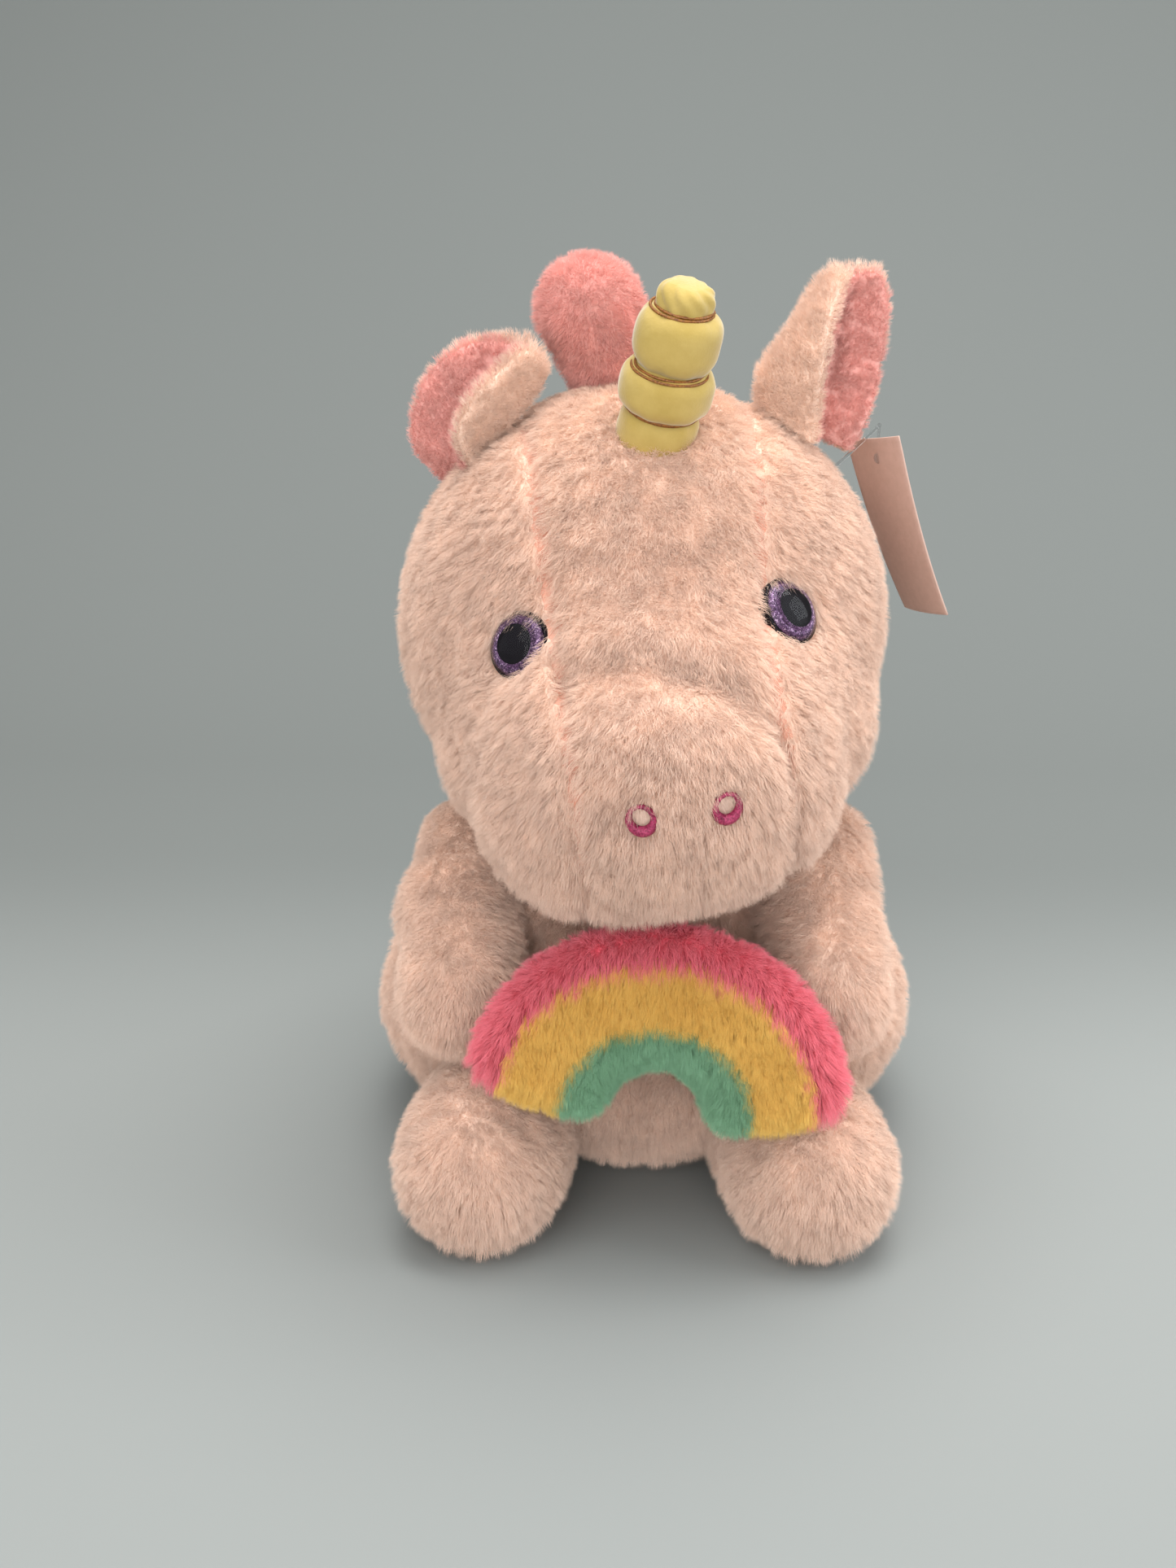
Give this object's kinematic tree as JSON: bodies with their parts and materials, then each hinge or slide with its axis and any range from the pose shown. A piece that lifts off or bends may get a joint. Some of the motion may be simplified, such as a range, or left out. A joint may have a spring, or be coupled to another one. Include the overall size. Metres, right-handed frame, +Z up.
{
  "type": "plush unicorn",
  "caption": "Sitting plush unicorn with a tilted head, puffed horn, one upright and one folded ear, holding a stuffed rainbow between its hands.",
  "frame": {"origin": "on the floor plane under the toy, midway between its hips, in the plane of its flat seat", "axes": "+Z up, the face looks along -Y, the toy's own left side is +X"},
  "size_m": [0.2265, 0.2758, 0.337],
  "materials": {
    "fur": "matte",
    "pink_plush": "matte",
    "horn_velvet": "matte",
    "rainbow_pink": "matte",
    "rainbow_yellow": "matte",
    "rainbow_green": "matte",
    "fibre": "matte",
    "pellets": "matte",
    "label": "satin",
    "eye_black": "gloss",
    "eye_glitter": "gloss",
    "eye_clear": "gloss",
    "washer": "satin",
    "nostril_thread": "satin",
    "horn_thread": "satin",
    "clear_plastic": "gloss",
    "tag_card": "satin"
  },
  "bodies": {
    "torso": {"torso_front_left": "fur", "torso_front_right": "fur", "torso_back_left": "fur", "torso_back_right": "fur", "seat_panel": "fur", "torso_stuffing": "fibre", "pellet_bag": "pellets", "care_label": "label"},
    "tail": {"tail_cover": "pink_plush", "tail_stuffing": "fibre"},
    "neck": {"neck_stuffing": "fibre"},
    "head": {"forehead_gusset": "fur", "nose_gusset": "fur", "chin_gusset": "fur", "head_side_left": "fur", "head_side_right": "fur", "head_stuffing": "fibre", "eye_left": "eye_black", "eye_right": "eye_black", "iris_left": "eye_glitter", "iris_right": "eye_glitter", "eye_lens_left": "eye_clear", "eye_lens_right": "eye_clear", "eye_washer_left": "washer", "eye_washer_right": "washer", "nostril_left": "nostril_thread", "nostril_right": "nostril_thread", "mane_cover": "pink_plush", "tag_pin": "clear_plastic"},
    "horn": {"horn_cover": "horn_velvet", "horn_thread": "horn_thread", "horn_stuffing": "fibre"},
    "forelock": {"forelock_cover": "pink_plush", "forelock_stuffing": "fibre"},
    "ear_left": {"ear_left_back": "fur", "ear_left_lining": "pink_plush"},
    "ear_right": {"ear_right_back": "fur", "ear_right_lining": "pink_plush"},
    "arm_left": {"arm_left_outer": "fur", "arm_left_inner": "fur", "arm_left_stuffing": "fibre"},
    "arm_right": {"arm_right_outer": "fur", "arm_right_inner": "fur", "arm_right_stuffing": "fibre"},
    "rainbow": {"rainbow_pink_band": "rainbow_pink", "rainbow_yellow_band": "rainbow_yellow", "rainbow_green_band": "rainbow_green", "rainbow_back": "rainbow_pink", "rainbow_stuffing": "fibre"},
    "leg_left": {"leg_left_cover": "fur", "leg_left_sole": "fur", "leg_left_stuffing": "fibre"},
    "leg_right": {"leg_right_cover": "fur", "leg_right_sole": "fur", "leg_right_stuffing": "fibre"},
    "hang_tag": {"hang_tag": "tag_card"}
  },
  "joints": [
    {"name": "head_turn", "type": "hinge", "parent": "torso", "child": "neck", "pos_m": [0, 0.008, 0.133], "axis": [0, 0, 1], "range_deg": [-8, 8]},
    {"name": "head_nod", "type": "hinge", "parent": "neck", "child": "head", "pos_m": [0, 0.008, 0.133], "axis": [-1, 0, 0], "range_deg": [0, 8]},
    {"name": "arms_lift", "type": "hinge", "parent": "torso", "child": "arm_left", "pos_m": [0, -0.006, 0.121], "axis": [-1, 0, 0], "range_deg": [0, 3]},
    {"name": "arm_right_lift", "type": "hinge", "parent": "torso", "child": "arm_right", "pos_m": [0, -0.006, 0.121], "axis": [-1, 0, 0], "range_deg": [0, 3]},
    {"name": "rainbow_tilt", "type": "hinge", "parent": "arm_left", "child": "rainbow", "pos_m": [0, -0.08, 0.09], "axis": [-1, 0, 0], "range_deg": [0, 6]},
    {"name": "leg_left_splay", "type": "hinge", "parent": "torso", "child": "leg_left", "pos_m": [0.052, -0.046, 0.033], "axis": [0, 0, 1], "range_deg": [-8, 8]},
    {"name": "leg_right_splay", "type": "hinge", "parent": "torso", "child": "leg_right", "pos_m": [-0.052, -0.046, 0.033], "axis": [0, 0, 1], "range_deg": [-8, 8]},
    {"name": "tail_flex", "type": "hinge", "parent": "torso", "child": "tail", "pos_m": [0, 0.112, 0.062], "axis": [1, 0, 0], "range_deg": [-6, 6], "stiffness_Nm_per_rad": 0.08},
    {"name": "horn_flex", "type": "hinge", "parent": "head", "child": "horn", "pos_m": [0.0025, -0.043, 0.281], "axis": [1, 0, 0], "range_deg": [-6, 6], "stiffness_Nm_per_rad": 0.15},
    {"name": "forelock_flex", "type": "hinge", "parent": "head", "child": "forelock", "pos_m": [-0.01, 0.014, 0.294], "axis": [1, 0, 0], "range_deg": [-6, 6], "stiffness_Nm_per_rad": 0.12},
    {"name": "ear_left_flex", "type": "hinge", "parent": "head", "child": "ear_left", "pos_m": [0.05442, 0, 0.27591], "axis": [0, 1, 0], "range_deg": [-8, 8], "stiffness_Nm_per_rad": 0.1},
    {"name": "ear_right_flex", "type": "hinge", "parent": "head", "child": "ear_right", "pos_m": [-0.05842, 0, 0.27591], "axis": [0, 1, 0], "range_deg": [-8, 8], "stiffness_Nm_per_rad": 0.1},
    {"name": "tag_swing", "type": "hinge", "parent": "head", "child": "hang_tag", "pos_m": [0.086, 0.0336, 0.262], "axis": [0, 1, 0], "range_deg": [-25, 4]}
  ],
  "couplings": [
    {"joint": "arm_right_lift", "follows": "arms_lift", "ratio": 1}
  ]
}
